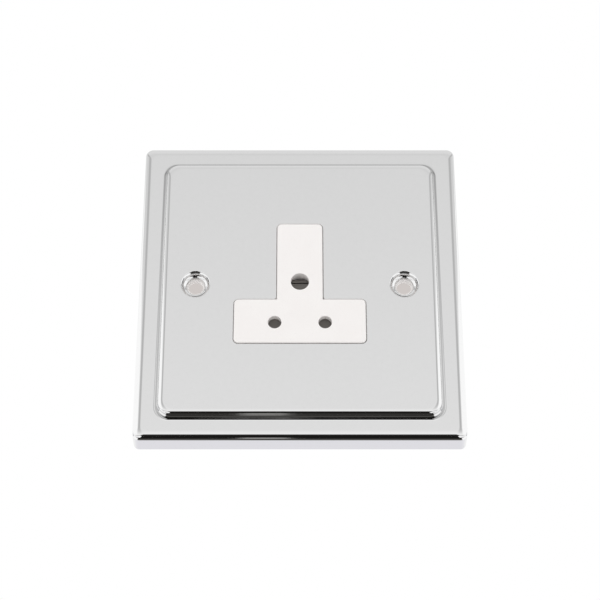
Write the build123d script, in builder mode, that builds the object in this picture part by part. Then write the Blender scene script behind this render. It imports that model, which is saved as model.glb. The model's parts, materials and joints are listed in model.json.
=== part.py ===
from build123d import *
import os
from math import radians, tan

os.makedirs("parts", exist_ok=True)

# Single wall socket for round three-pin plugs, in a stepped square metal plate.
# X runs to the right and Z up, seen from the room. Y runs into the wall, and Y = 0 is the wall face.
# Every height below is measured from the wall face towards the room, so it is a value of -Y.
# cut_over is how far a cutting shape runs past what it cuts.


def at(height):
    """The plane at a height in front of the wall face, seen from the room."""
    return Plane.XZ.offset(height)


# Plate
plate_size = 93.6
plate_height = 10.0
plate_sheet = 0.8
plate_corner = 1.2
skirt_flare = 2.0
shoulder_radius = 1.0
crown_slope = 25.0
crown_fall = 0.75
crown_radius = 4.9
step_depth = 1.85
step_slope = 75.0
step_radius = 1.0
foot_radius = 1.4
panel_size = 79.3
panel_corner = 1.0
fixing_spacing = 60.3
fixing_hole = 5.3
dish_hole_depth = 1.1
dish_diameter = 7.6
dish_edge_radius = 0.45
same_height = 0.01

# Round pins of the plug, and the places of their holes
pin_spacing = 14.4
pin_row = -12.15
earth_row = 0.7
pin_diameter = 3.53
pin_length = 15.1
earth_pin_diameter = 5.08
earth_pin_length = 20.6
pin_hole = 3.9
earth_hole = 5.3
pin_grip_clearance = 0.035

# White front moulding
boss_proud = 0.3
boss_wall = 2.2
boss_stem_width = 13.2
boss_bar_width = 37.7
boss_top = 19.5
boss_bar_top = -4.9
boss_bottom = -18.5
boss_corner = 1.3
boss_edge_radius = 0.3
boss_gap = 0.2
flange_width = 50.0
flange_top = 24.5
flange_bottom = -25.5
flange_thickness = 2.0
ear_width = 12.0
ear_hole = 4.4
ear_dish_gap = 0.2
stud_lug_width = 10.0
stud_lug_end = 4.6

# Housing behind the flange
housing_width = 46.0
housing_top = 20.0
housing_bottom = -24.0
housing_wall = 1.8
housing_corner = 2.4
housing_joint = 0.3
joint_lip = 1.5
joint_gap = 0.1
base_depth = 10.5
base_floor = 2.0
base_edge_radius = 1.2
partition = 1.6

# Shutter, its rails and its spring
shutter_thickness = 2.5
shutter_travel = 4.3
shutter_play = 0.15
shutter_cover = 0.25
shutter_bar_width = 20.0
shutter_stem_width = 8.4
shutter_corner = 0.5
ramp_rise = 1.4
ramp_slit = 0.7
ramp_slit_depth = 1.2
keeper_thickness = 1.2
keeper_play = 0.2
keeper_corner = 0.8
rail_width = 2.2
peg_diameter = 1.6
spring_wire = 0.35
spring_diameter = 2.4
spring_turns = 5
spring_seat_gap = 0.1
spring_peg = 1.0
spring_peg_length = 1.25
cut_over = 1.0

# Brass contacts and terminals
sleeve_wall = 0.8
sleeve_slit = 0.7
sleeve_slit_length = 6.0
sleeve_keeper_gap = 0.3
sleeve_end_wall = 0.6
sleeve_lead_in = 0.3
pin_tip_room = 0.5
tail_step = 0.4
tail_stub = 0.2
arm_thickness = 1.2
arm_front = -5.2
arm_width = 5.5
arm_ring_wall = 1.2
staking_gap = 0.02
clip_thickness = 0.4
clip_width = 2.2
clip_opening = 50.0
clip_setback = 4.4
terminal_width = 6.5
terminal_length = 8.0
terminal_corner = 0.5
terminal_front = -1.0
terminal_offset = 16.75
earth_terminal_row = 13.7
wire_bore = 3.2
wire_row = -4.0
wire_notch = 5.4
screw_thread = 3.0
screw_head = 6.0
screw_head_height = 2.0
screw_head_chamfer = 0.35
screw_head_gap = 0.1
screw_tip_gap = 0.1
screw_slot = 0.9
screw_slot_depth = 1.0
screw_well = 6.6
shroud_wall = 1.3
shroud_height = 2.0
tower_wall = 1.5
tower_gap = 0.1

# Fasteners and the earth strap
stud_row_top = 28.5
stud_row_bottom = -29.0
stud_diameter = 3.4
stud_length = 7.0
stud_tip_chamfer = 0.3
stud_clearance = 0.2
nut_across_flats = 6.0
nut_height = 2.4
nut_gap = 0.02
strap_width = 5.0
strap_thickness = 0.8
strap_bend = 1.0
strap_stand_off = 0.9
strap_tip = 3.6
base_screw_row = 13.5
base_screw_offset = 17.4
base_screw_low_row = -19.3
base_screw_shank = 2.8
base_screw_point = 0.7
base_screw_grip = 2.4
base_screw_head = 5.6
base_screw_head_height = 1.8
base_screw_head_chamfer = 0.6
base_screw_clearance = 0.2
base_screw_pilot_gap = 0.02
base_screw_sink = 1.2
base_screw_tip_room = 0.5
base_screw_cross = 3.2
base_screw_cross_width = 0.7
base_screw_cross_depth = 1.1
boss_radius = 2.6
pillar_radius = 3.2

# Heights worked out from the sizes above
panel_back = plate_height - plate_sheet
rim_height = plate_height - step_depth
boss_face = plate_height + boss_proud
front_wall_back = boss_face - boss_wall
flange_back = panel_back - flange_thickness
shutter_front = front_wall_back - shutter_play / 2
shutter_back = shutter_front - shutter_thickness
rail_back = shutter_back - shutter_play / 2
keeper_back = rail_back - keeper_thickness
sleeve_front = keeper_back - sleeve_keeper_gap
floor_height = base_floor - base_depth
terminal_back = floor_height
base_screw_seat = base_screw_sink - base_depth
base_screw_tip = housing_joint + base_screw_grip
pilot_end = base_screw_tip + base_screw_tip_room
low_boss_front = pilot_end + base_screw_tip_room
lip_front = housing_joint + joint_lip
pin_tip = boss_face - pin_length
earth_pin_tip = boss_face - earth_pin_length
ear_front = panel_back - dish_hole_depth - keeper_play
ear_back = ear_front - flange_thickness

# Places seen from the room
pin_places = {"line": pin_spacing / 2, "neutral": -pin_spacing / 2}
fixing_places = [(-fixing_spacing / 2, 0), (fixing_spacing / 2, 0)]
stud_rows = {"top": stud_row_top, "bottom": stud_row_bottom}
base_screw_places = {
    "left": (-base_screw_offset, base_screw_row),
    "right": (base_screw_offset, base_screw_row),
    "bottom": (0, base_screw_low_row),
}
housing_middle = (housing_top + housing_bottom) / 2
housing_length = housing_top - housing_bottom
shutter_bar_top = pin_row - pin_hole / 2 + shutter_travel - shutter_cover / 2
shutter_bar_bottom = 2 * pin_row - shutter_bar_top - shutter_cover
shutter_stem_top = earth_row - earth_pin_diameter / 2 + shutter_travel
ramp_front = earth_row + ramp_slit / 2
spring_floor = housing_bottom + housing_wall
partition_row = (pin_row + earth_row) / 2


def save(builder, name):
    """Label a finished piece and write its file."""
    builder.part.label = name
    export_step(builder.part, f"parts/{name}.step")


def housing_outline(inset, mode=Mode.ADD):
    """The housing's rounded rectangle, drawn inside its outer face by the inset."""
    width = housing_width - 2 * inset
    length = housing_length - 2 * inset
    with Locations((0, housing_middle)):
        RectangleRounded(width, length, housing_corner - inset, mode=mode)


def boss_outline(grow):
    """The inverted T of the socket face, grown by a clearance."""
    with BuildSketch() as outline:
        with Locations((0, (boss_top + boss_bottom) / 2)):
            Rectangle(boss_stem_width + 2 * grow, boss_top - boss_bottom + 2 * grow)
        with Locations((0, (boss_bar_top + boss_bottom) / 2)):
            Rectangle(boss_bar_width + 2 * grow, boss_bar_top - boss_bottom + 2 * grow)
        inner = outline.vertices().group_by(Axis.Y)[1].sort_by(Axis.X)[1:3]
        outer = outline.vertices().filter_by(lambda v: v not in inner)
        fillet(outer, boss_corner + grow)
        fillet(inner, boss_corner / 2)
    return outline.sketch


# Front plate: one pressed square sheet, with a step, a crowned rim that rolls over, and a skirt
def edges_at(form, height):
    """The edges of a form that lie at one height in front of the wall face."""
    return form.edges().filter_by_position(Axis.Y, -height - same_height, -height + same_height)


def pressed_form(inset):
    """The plate's outer form, or with the sheet's thickness as inset, the hollow behind it."""
    rim = rim_height - inset
    crown_inset = inset * (1 - tan(radians(crown_slope / 2)))
    shoulder_height = rim - crown_fall + crown_inset * tan(radians(crown_slope))
    skirt_side = plate_size - 2 * inset
    shoulder_side = skirt_side - 2 * shoulder_height * tan(radians(skirt_flare))
    step_inset = inset * tan(radians(step_slope / 2))
    step_run = step_depth / tan(radians(step_slope))
    step_side = panel_size + 2 * step_run - 2 * step_inset
    with BuildPart() as form:
        with BuildSketch(at(0)):
            Rectangle(skirt_side, skirt_side)
        extrude(amount=shoulder_height, taper=skirt_flare)
        with BuildSketch(at(shoulder_height)):
            Rectangle(shoulder_side, shoulder_side)
        extrude(amount=rim - shoulder_height, taper=90 - crown_slope)
        fillet(edges_at(form, rim), crown_radius - inset)
        fillet(edges_at(form, shoulder_height), shoulder_radius - inset)
        with BuildSketch(at(0)):
            RectangleRounded(skirt_side, skirt_side, plate_corner - inset)
        extrude(amount=rim, mode=Mode.INTERSECT)
        with BuildSketch(at(rim)):
            RectangleRounded(step_side, step_side, panel_corner + step_run)
        extrude(amount=step_depth, taper=90 - step_slope)
        foot_edges = edges_at(form, rim).filter_by(
            lambda e: max(abs(e.center().X), abs(e.center().Z)) < step_side / 2 + same_height
        )
        fillet(foot_edges, foot_radius + inset)
        fillet(edges_at(form, rim + step_depth), step_radius - inset)
    return form.part


plate_outside = pressed_form(0)
plate_inside = pressed_form(plate_sheet)
with BuildPart() as front_plate:
    add(plate_outside)
    add(plate_inside, mode=Mode.SUBTRACT)
    with Locations([at(panel_back) * Location((x, z, -dish_hole_depth / 2)) for x, z in fixing_places]):
        Cone(
            fixing_hole / 2 + plate_sheet / 2,
            dish_diameter / 2 + plate_sheet / 2,
            dish_hole_depth,
        )
    with BuildSketch(at(0)):
        with Locations(*fixing_places):
            Circle(fixing_hole / 2)
    extrude(amount=plate_height, mode=Mode.SUBTRACT)
    with Locations([at(plate_height) * Location((x, z, -dish_hole_depth / 2)) for x, z in fixing_places]):
        Cone(fixing_hole / 2, dish_diameter / 2, dish_hole_depth, mode=Mode.SUBTRACT)
    dish_edges = front_plate.edges().filter_by(GeomType.CIRCLE).group_by(Axis.Y)[0]
    fillet(dish_edges, dish_edge_radius)
    with BuildSketch(at(panel_back)):
        add(boss_outline(boss_gap))
    extrude(amount=plate_sheet, mode=Mode.SUBTRACT)
save(front_plate, "front_plate")

# Threaded studs welded behind the panel, and their nuts
for place, row in stud_rows.items():
    seat = flange_back - (strap_thickness if place == "top" else 0)
    with BuildPart() as plate_stud:
        with BuildSketch(at(panel_back - stud_length)):
            with Locations((0, row)):
                Circle(stud_diameter / 2)
        extrude(amount=stud_length)
        chamfer(plate_stud.edges().group_by(Axis.Y)[-1], stud_tip_chamfer)
    save(plate_stud, f"plate_stud_{place}")
    with BuildPart() as stud_nut:
        with BuildSketch(at(seat - nut_height)):
            with Locations((0, row)):
                RegularPolygon(nut_across_flats / 2, 6, major_radius=False)
                Circle(stud_diameter / 2 + nut_gap, mode=Mode.SUBTRACT)
        extrude(amount=nut_height)
    save(stud_nut, f"stud_nut_{place}")

# White front moulding: the socket face, its flange and ears, and the front half of the housing
rail_inner = shutter_bar_width / 2 + shutter_play
rail_top = shutter_stem_top + rail_width
with BuildPart() as socket_front:
    with BuildSketch(at(flange_back)):
        with Locations((0, (flange_top + flange_bottom) / 2)):
            RectangleRounded(flange_width, flange_top - flange_bottom, housing_corner)
        SlotCenterToCenter(fixing_spacing, ear_width)
        with Locations((0, (stud_row_top + stud_row_bottom) / 2)):
            SlotCenterToCenter(stud_row_top - stud_row_bottom, stud_lug_width, rotation=90)
    extrude(amount=flange_thickness)
    with BuildSketch(at(ear_back)):
        SlotCenterToCenter(fixing_spacing, ear_width)
    extrude(amount=flange_back - ear_back)
    with BuildSketch(at(ear_front)):
        with Locations(*fixing_places):
            Circle(ear_width / 2 + ear_dish_gap)
    extrude(amount=panel_back - ear_front, mode=Mode.SUBTRACT)
    with BuildSketch(at(panel_back)):
        add(boss_outline(0))
    extrude(amount=boss_face - panel_back)
    fillet(socket_front.edges().group_by(Axis.Y)[0], boss_edge_radius)
    with BuildSketch(at(housing_joint)):
        housing_outline(0)
    extrude(amount=flange_back - housing_joint)
    with BuildSketch(at(housing_joint)):
        housing_outline(housing_wall)
    extrude(amount=flange_back - housing_joint, mode=Mode.SUBTRACT)
    with BuildSketch(at(rail_back)):
        with Locations((0, (rail_top + spring_floor) / 2)):
            Rectangle(2 * (rail_inner + rail_width), rail_top - spring_floor)
    extrude(amount=flange_back - rail_back)
    with BuildSketch(at(rail_back)):
        with Locations((0, (shutter_bar_top + shutter_play + spring_floor) / 2)):
            Rectangle(2 * rail_inner, shutter_bar_top + shutter_play - spring_floor)
        with Locations((0, (rail_top + pin_row) / 2)):
            Rectangle(shutter_stem_width + 2 * shutter_play, rail_top - pin_row)
    extrude(amount=front_wall_back - rail_back, mode=Mode.SUBTRACT)
    with BuildSketch(at(front_wall_back)):
        with Locations(*[(x, pin_row) for x in pin_places.values()]):
            Circle(pin_hole / 2)
        with Locations((0, earth_row)):
            Circle(earth_hole / 2)
    extrude(amount=boss_wall, mode=Mode.SUBTRACT)
    with BuildSketch(at(rail_back - keeper_thickness)):
        with Locations(*[(s * (rail_inner + rail_width / 2), pin_row) for s in (-1, 1)]):
            Circle(peg_diameter / 2)
    extrude(amount=keeper_thickness)
    for x, z in base_screw_places.values():
        with BuildSketch(at(housing_joint)):
            with Locations((x, z)):
                Circle(boss_radius)
            if z < 0:
                with Locations((x, (z + spring_floor) / 2)):
                    Rectangle(2 * boss_radius, z - spring_floor)
        extrude(amount=(flange_back if z > 0 else low_boss_front) - housing_joint)
    with BuildSketch(at(housing_joint)):
        with Locations(*base_screw_places.values()):
            Circle(base_screw_shank / 2 + base_screw_pilot_gap)
    extrude(amount=pilot_end - housing_joint, mode=Mode.SUBTRACT)
    with BuildSketch(at(housing_joint)):
        housing_outline(housing_wall / 2)
        housing_outline(housing_wall + joint_gap, mode=Mode.SUBTRACT)
    extrude(amount=joint_lip + joint_gap, mode=Mode.SUBTRACT)
    with BuildSketch(at(ear_back)):
        with Locations(*fixing_places):
            Circle(ear_hole / 2)
        with Locations(*[(0, row) for row in stud_rows.values()]):
            Circle(stud_diameter / 2 + stud_clearance)
    extrude(amount=panel_back - ear_back, mode=Mode.SUBTRACT)
save(socket_front, "socket_front")

# Shutter: a bar behind the two small holes and a stem whose ramp the earth pin pushes down
with BuildPart() as shutter:
    with BuildSketch(at(shutter_back)):
        with Locations((0, (shutter_bar_top + shutter_bar_bottom) / 2)):
            RectangleRounded(shutter_bar_width, shutter_bar_top - shutter_bar_bottom, shutter_corner)
        with Locations((0, (shutter_stem_top + pin_row) / 2)):
            Rectangle(shutter_stem_width, shutter_stem_top - pin_row)
    extrude(amount=shutter_thickness)
    with BuildSketch(Plane.YZ.offset(-shutter_stem_width / 2)):
        with BuildLine():
            Polyline(
                (-shutter_front, ramp_front - ramp_slit),
                (ramp_slit_depth - shutter_front, ramp_front - ramp_slit),
                (ramp_slit_depth - shutter_front, ramp_front),
                (-shutter_front, ramp_front),
                (-shutter_back, ramp_front + ramp_rise),
                (-shutter_back, shutter_stem_top + cut_over),
                (-shutter_front - cut_over, shutter_stem_top + cut_over),
                (-shutter_front - cut_over, ramp_front - ramp_slit),
                close=True,
            )
        make_face()
    extrude(amount=shutter_stem_width, mode=Mode.SUBTRACT)
    with BuildSketch(Plane.XY.offset(shutter_bar_bottom)):
        with Locations((0, -(shutter_front + shutter_back) / 2)):
            Circle(spring_peg / 2)
    extrude(amount=-spring_peg_length)
save(shutter, "shutter")

# Return spring between the shutter and the housing's floor
spring_top = shutter_bar_bottom - spring_seat_gap - spring_wire / 2
spring_foot = spring_floor + spring_seat_gap + spring_wire / 2
with BuildPart() as shutter_spring:
    with BuildLine(Plane.XY.offset(spring_foot)) as coil:
        Helix(
            (spring_top - spring_foot) / spring_turns,
            spring_top - spring_foot,
            (spring_diameter - spring_wire) / 2,
        )
    with BuildSketch(Plane(origin=coil.line @ 0, z_dir=coil.line % 0)):
        Circle(spring_wire / 2)
    sweep()
shutter_spring.part = shutter_spring.part.moved(Location((0, -(shutter_front + shutter_back) / 2, 0)))
save(shutter_spring, "shutter_spring")

# Keeper plate that closes the shutter's channel from behind
with BuildPart() as shutter_keeper:
    with BuildSketch(at(keeper_back)):
        with Locations((0, (rail_top + shutter_bar_bottom - shutter_travel / 2) / 2)):
            RectangleRounded(
                2 * (rail_inner + rail_width),
                rail_top - shutter_bar_bottom + shutter_travel / 2,
                keeper_corner,
            )
        with Locations(*[(x, pin_row) for x in pin_places.values()]):
            Circle(pin_hole / 2 + joint_gap, mode=Mode.SUBTRACT)
        with Locations((0, earth_row)):
            Circle(earth_hole / 2 + joint_gap, mode=Mode.SUBTRACT)
        with Locations(*[(s * (rail_inner + rail_width / 2), pin_row) for s in (-1, 1)]):
            Circle(peg_diameter / 2 + joint_gap, mode=Mode.SUBTRACT)
    extrude(amount=keeper_thickness)
save(shutter_keeper, "shutter_keeper")

# Contacts: for each pin a slit sleeve, a spring clip round it, and a terminal with its screw
contacts = {
    name: ((x, pin_row), (x / abs(x) * terminal_offset, pin_row), pin_diameter, pin_tip)
    for name, x in pin_places.items()
}
contacts["earth"] = ((0, earth_row), (0, earth_terminal_row), earth_pin_diameter, earth_pin_tip)
for name, (hole, terminal, diameter, tip) in contacts.items():
    bore = diameter / 2 + pin_grip_clearance
    outer = bore + sleeve_wall
    tail = outer - tail_step
    bore_end = tip - pin_tip_room
    sleeve_end = min(bore_end - sleeve_end_wall, arm_front - arm_thickness - tail_stub)
    with BuildPart() as sleeve:
        with BuildSketch(at(arm_front)):
            with Locations(hole):
                Circle(outer)
        extrude(amount=sleeve_front - arm_front)
        with BuildSketch(at(sleeve_end)):
            with Locations(hole):
                Circle(tail)
        extrude(amount=arm_front - sleeve_end)
        with BuildSketch(at(bore_end)):
            with Locations(hole):
                Circle(bore)
        extrude(amount=sleeve_front - bore_end, mode=Mode.SUBTRACT)
        chamfer(sleeve.edges().filter_by(GeomType.CIRCLE).group_by(Axis.Y)[0].sort_by(SortBy.RADIUS)[0], sleeve_lead_in)
        with BuildSketch(at(sleeve_front - sleeve_slit_length)):
            with Locations(hole):
                Rectangle(sleeve_slit, 2 * outer + cut_over)
        extrude(amount=sleeve_slit_length, mode=Mode.SUBTRACT)
    save(sleeve, f"{name}_sleeve")

    clip_inner = outer + staking_gap
    clip_front = sleeve_front - clip_setback
    with BuildPart() as sleeve_clip:
        with BuildSketch(at(clip_front - clip_width)):
            with Locations(hole):
                Circle(clip_inner + clip_thickness)
                Circle(clip_inner, mode=Mode.SUBTRACT)
            with BuildLine():
                far = 2 * (clip_inner + clip_thickness)
                half = far * tan(radians(clip_opening / 2))
                Polyline(
                    hole,
                    (hole[0] - half, hole[1] - far),
                    (hole[0] + half, hole[1] - far),
                    close=True,
                )
            make_face(mode=Mode.SUBTRACT)
        extrude(amount=clip_width)
    save(sleeve_clip, f"{name}_sleeve_clip")

    across = (terminal_width, terminal_length)
    with BuildPart() as terminal_block:
        with BuildSketch(at(terminal_back)):
            with Locations(terminal):
                RectangleRounded(*across, terminal_corner)
        extrude(amount=terminal_front - terminal_back)
        with BuildSketch(at(arm_front - arm_thickness)):
            with Locations(hole):
                Circle(tail + staking_gap + arm_ring_wall)
            middle = ((hole[0] + terminal[0]) / 2, (hole[1] + terminal[1]) / 2)
            with Locations(middle):
                if name == "earth":
                    Rectangle(arm_width, terminal[1] - hole[1])
                else:
                    Rectangle(abs(terminal[0] - hole[0]), arm_width)
        extrude(amount=arm_thickness)
        with BuildSketch(at(arm_front - arm_thickness)):
            with Locations(hole):
                Circle(tail + staking_gap)
        extrude(amount=arm_thickness, mode=Mode.SUBTRACT)
        with BuildSketch(Plane.XY.offset(terminal[1] - terminal_length / 2)):
            with Locations((terminal[0], -wire_row)):
                Circle(wire_bore / 2)
        extrude(amount=terminal_length, mode=Mode.SUBTRACT)
        with BuildSketch(at(terminal_back)):
            with Locations(terminal):
                Circle(screw_thread / 2 + staking_gap)
        extrude(amount=wire_row - terminal_back, mode=Mode.SUBTRACT)
    save(terminal_block, f"{name}_terminal")

    screw_tip = wire_row - wire_bore / 2 - screw_tip_gap
    head_seat = terminal_back - screw_head_gap
    with BuildPart() as terminal_screw:
        with BuildSketch(at(head_seat)):
            with Locations(terminal):
                Circle(screw_thread / 2)
        extrude(amount=screw_tip - head_seat)
        with BuildSketch(at(head_seat - screw_head_height)):
            with Locations(terminal):
                Circle(screw_head / 2)
        extrude(amount=screw_head_height)
        chamfer(terminal_screw.edges().group_by(Axis.Y)[-1], screw_head_chamfer)
        with BuildSketch(at(head_seat - screw_head_height)):
            with Locations(terminal):
                Rectangle(screw_head, screw_slot)
        extrude(amount=screw_slot_depth, mode=Mode.SUBTRACT)
    save(terminal_screw, f"{name}_terminal_screw")

# Rear base: a tray behind the contacts, with partitions, a tower for the long pin and screw shrouds
tower_radius = earth_pin_diameter / 2 + pin_grip_clearance + sleeve_wall - tail_step + tower_wall
tower_well = tower_radius - tower_wall + tower_gap
tower_end = earth_pin_tip - pin_tip_room - sleeve_end_wall - joint_gap
with BuildPart() as rear_base:
    with BuildSketch(at(-base_depth)):
        housing_outline(0)
    extrude(amount=base_depth + housing_joint)
    fillet(rear_base.edges().group_by(Axis.Y)[-1], base_edge_radius)
    with BuildSketch(at(floor_height)):
        housing_outline(housing_wall)
    extrude(amount=housing_joint - floor_height, mode=Mode.SUBTRACT)
    with BuildSketch(at(floor_height)):
        housing_outline(housing_wall / 2 + joint_gap)
        housing_outline(housing_wall, mode=Mode.SUBTRACT)
    extrude(amount=lip_front - floor_height)
    with BuildSketch(at(floor_height)):
        with Locations((0, partition_row)):
            Rectangle(housing_width - 2 * housing_wall, partition)
        with Locations((0, (partition_row + housing_bottom + housing_wall) / 2)):
            Rectangle(partition, partition_row - housing_bottom - housing_wall)
        with Locations(*base_screw_places.values()):
            Circle(pillar_radius)
    extrude(amount=housing_joint - floor_height)
    with BuildSketch(at(-base_depth - shroud_height)):
        with Locations(*[terminal for _, terminal, _, _ in contacts.values()]):
            Circle(screw_well / 2 + shroud_wall)
    extrude(amount=shroud_height + base_floor)
    with BuildSketch(at(tower_end - tower_wall)):
        with Locations((0, earth_row)):
            Circle(tower_radius)
    extrude(amount=floor_height - tower_end + tower_wall)
    chamfer(rear_base.edges().group_by(Axis.Y)[-1], tower_wall / 2)
    with BuildSketch(at(tower_end)):
        with Locations((0, earth_row)):
            Circle(tower_well)
    extrude(amount=floor_height - tower_end, mode=Mode.SUBTRACT)
    with BuildSketch(at(-base_depth - shroud_height)):
        with Locations(*[terminal for _, terminal, _, _ in contacts.values()]):
            Circle(screw_well / 2)
    extrude(amount=shroud_height + base_floor, mode=Mode.SUBTRACT)
    with BuildSketch(at(-base_depth)):
        with Locations(*base_screw_places.values()):
            Circle(base_screw_head / 2 + base_screw_clearance)
    extrude(amount=base_screw_sink, mode=Mode.SUBTRACT)
    with BuildSketch(at(base_screw_seat)):
        with Locations(*base_screw_places.values()):
            Circle(base_screw_shank / 2 + base_screw_clearance)
    extrude(amount=housing_joint - base_screw_seat, mode=Mode.SUBTRACT)
    for _, (x, z), _, _ in contacts.values():
        edge = housing_top if z > 0 else housing_bottom
        with BuildSketch(Plane.XY.offset(edge)):
            with Locations((x, -wire_row)):
                Circle(wire_notch / 2)
            with Locations((x, -(wire_row + lip_front) / 2)):
                Rectangle(wire_notch, lip_front - wire_row)
        extrude(amount=2 * housing_wall, both=True, mode=Mode.SUBTRACT)
save(rear_base, "rear_base")

# Screws that join the rear base to the front moulding
for place, (x, z) in base_screw_places.items():
    with BuildPart() as base_screw:
        with BuildSketch(at(base_screw_seat)):
            with Locations((x, z)):
                Circle(base_screw_shank / 2)
        extrude(amount=base_screw_tip - base_screw_seat)
        chamfer(base_screw.edges().group_by(Axis.Y)[0], base_screw_point)
        with BuildSketch(at(base_screw_seat - base_screw_head_height)):
            with Locations((x, z)):
                Circle(base_screw_head / 2)
        extrude(amount=base_screw_head_height)
        chamfer(base_screw.edges().group_by(Axis.Y)[-1], base_screw_head_chamfer)
        with BuildSketch(at(base_screw_seat - base_screw_head_height)):
            with Locations((x, z)):
                Rectangle(base_screw_cross, base_screw_cross_width)
                Rectangle(base_screw_cross_width, base_screw_cross)
        extrude(amount=base_screw_cross_depth, mode=Mode.SUBTRACT)
    save(base_screw, f"base_screw_{place}")

# Earth strap from the earth terminal to the plate's upper stud
strap_low = terminal_front + strap_thickness / 2
strap_high = flange_back - strap_thickness / 2
strap_riser = housing_top + strap_stand_off + strap_thickness / 2
strap_end = stud_row_top + strap_tip
with BuildPart() as earth_strap:
    with BuildSketch(Plane.YZ):
        with BuildLine():
            FilletPolyline(
                (-strap_low, earth_terminal_row - terminal_length / 2),
                (-strap_low, strap_riser),
                (-strap_high, strap_riser),
                (-strap_high, strap_end),
                radius=strap_bend + strap_thickness / 2,
            )
        trace(line_width=strap_thickness)
    extrude(amount=strap_width / 2, both=True)
    with BuildSketch(at(flange_back - strap_thickness)):
        with Locations((0, stud_row_top)):
            Circle(stud_diameter / 2 + stud_clearance)
    extrude(amount=strap_thickness, mode=Mode.SUBTRACT)
save(earth_strap, "earth_strap")
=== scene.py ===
import json
import math

import bmesh
import bpy
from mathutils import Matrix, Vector


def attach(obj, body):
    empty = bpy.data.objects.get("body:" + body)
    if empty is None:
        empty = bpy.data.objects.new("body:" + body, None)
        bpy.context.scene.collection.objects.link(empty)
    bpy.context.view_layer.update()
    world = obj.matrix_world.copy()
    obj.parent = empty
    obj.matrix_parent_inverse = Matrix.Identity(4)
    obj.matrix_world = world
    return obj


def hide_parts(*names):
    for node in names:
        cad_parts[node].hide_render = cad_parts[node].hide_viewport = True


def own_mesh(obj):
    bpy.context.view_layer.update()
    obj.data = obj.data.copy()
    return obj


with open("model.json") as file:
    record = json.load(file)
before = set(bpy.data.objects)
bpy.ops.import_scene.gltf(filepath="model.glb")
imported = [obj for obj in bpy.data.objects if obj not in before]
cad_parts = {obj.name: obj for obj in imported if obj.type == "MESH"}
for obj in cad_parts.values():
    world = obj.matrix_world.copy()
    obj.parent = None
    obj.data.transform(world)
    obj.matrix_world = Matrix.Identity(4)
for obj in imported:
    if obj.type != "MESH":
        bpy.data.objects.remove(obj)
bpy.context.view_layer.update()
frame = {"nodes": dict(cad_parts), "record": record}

# Single wall socket for round three-pin plugs: chromed plate, white insert, wiring module behind it.
# The object stands upright as on a wall: X to the right, Z up, and the room on the -Y side.

MM = 0.001

# The pressed plate's own sizes, in millimetres: s is a distance from the middle, h a height off the wall
PLATE_HALF = 46.8
PLATE_HEIGHT = 10.0
PLATE_SHEET = 0.8
PANEL_FLAT = 38.3
RIM_FLAT = 43.95
RIM_HEIGHT = 8.1
# The profile's slopes in degrees below the panel's plane
CROWN_SLOPE = 25
STEP_SLOPE = 75
SKIRT_SLOPE = 88
# The profile's radii, on the sheet's (outer, inner) face
PANEL_CROWN_RADII = (3.1, 2.3)
STEP_EDGE_RADII = (0.5, 0.1)
STEP_FOOT_RADII = (1.45, 2.1)
RIM_CROWN_RADII = (4.9, 4.1)
SHOULDER_RADII = (1.0, 0.2)
# Profile points nearer the middle than this belong to the step, and the others to the rim
STEP_END = 42.95
# Where the outline's corner radius changes: (s, radius) over the step, then over the rolled rim
STEP_CORNERS = [(PANEL_FLAT, 2.9), (41.4, 4.2)]
RIM_CORNERS = [(RIM_FLAT, 1.6), (46.7, 2.2)]
SKIRT_CORNER = 1.7
# How far the skirt's two back edges are broken
SKIRT_LIP = 0.12
# The panel is pressed a little narrower than it is tall
STEP_NARROWER = 0.3
# A face whose normal leans further than this towards the wall is on the plate's back
FACES_WALL = 0.008
# The darker, duller corner at the step's foot: the heights over which the darkening comes in, and goes
# again
FOOT_DULL_FROM = (8.12, 8.22)
FOOT_DULL_UP_TO = (8.4, 8.75)

# The insert's inverted T, then the plate's gap round it and the slope along the opening's edge
TEE_STEM_HALF = 6.6
TEE_BAR_HALF = 18.85
TEE_TOP = 19.5
TEE_SHELF = -4.9
TEE_BOTTOM = -18.5
TEE_OUTER_RADIUS = 1.3
TEE_INNER_RADIUS = 0.9
TEE_GAP = 0.14
TEE_EDGE = 0.14

# The fixing holes: how far each is to the side, and its dish as (radius, depth below the panel),
# from the panel's front in through the hole and out again along its back
FIXING_HOLE_SIDE = 30.15
DISH = [
    (4.4, 0.0),
    (4.26, 0.02),
    (4.14, 0.08),
    (4.03, 0.19),
    (3.6, 0.74),
    (3.52, 0.92),
    (3.49, 1.12),
    (3.42, 1.2),
    (2.9, 1.36),
    (2.78, 1.42),
    (2.7, 1.54),
    (2.67, 1.98),
    (3.2, 2.02),
    (3.9, 1.6),
    (4.4, 1.05),
    (4.7, 0.8),
]

# The shutter behind the pin holes: (z, height) round the side of its stem, with the slit and the ramp's lip
STEM_SIDE = [
    (-9.925, 8.02),
    (1.0, 8.02),
    (1.05, 7.97),
    (1.05, 6.8),
    (1.4, 6.8),
    (1.4, 7.9),
    (1.46, 7.97),
    (2.0, 7.93),
    (2.3, 7.8),
    (2.46, 7.55),
    (2.46, 5.53),
    (-9.925, 5.53),
]
STEM_HALF = 4.2
BAR_HALF = 10.0
BAR_LOW = -14.625
PEG_RADIUS = 0.5
PEG_LENGTH = 1.25
# The spring peg's rounded tip: its length, and its end's share of the radius
PEG_TIP = 0.2
PEG_TIP_SHRINK = 0.85
# How far the peg starts inside the bar
PEG_SUNK = 0.05

# The white guide over the earth pin: a block, hollowed on a circle round the pin's middle line
GUIDE_HALF = 4.3
GUIDE_LOW = 2.6
GUIDE_HIGH = 4.6
GUIDE_FRONT = 8.08
GUIDE_BACK = 5.5
EARTH_PIN_Z = 0.7
GUIDE_RADIUS = 2.65

# The return spring under the shutter: heights of its wire's middle line, and its seat in the moulding
SPRING_LOW = -21.925
SPRING_HIGH = -14.9
SPRING_DEPTH = 6.775
COIL_RADIUS = 1.025
WIRE_RADIUS = 0.175
SPRING_TURNS = 6
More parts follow.
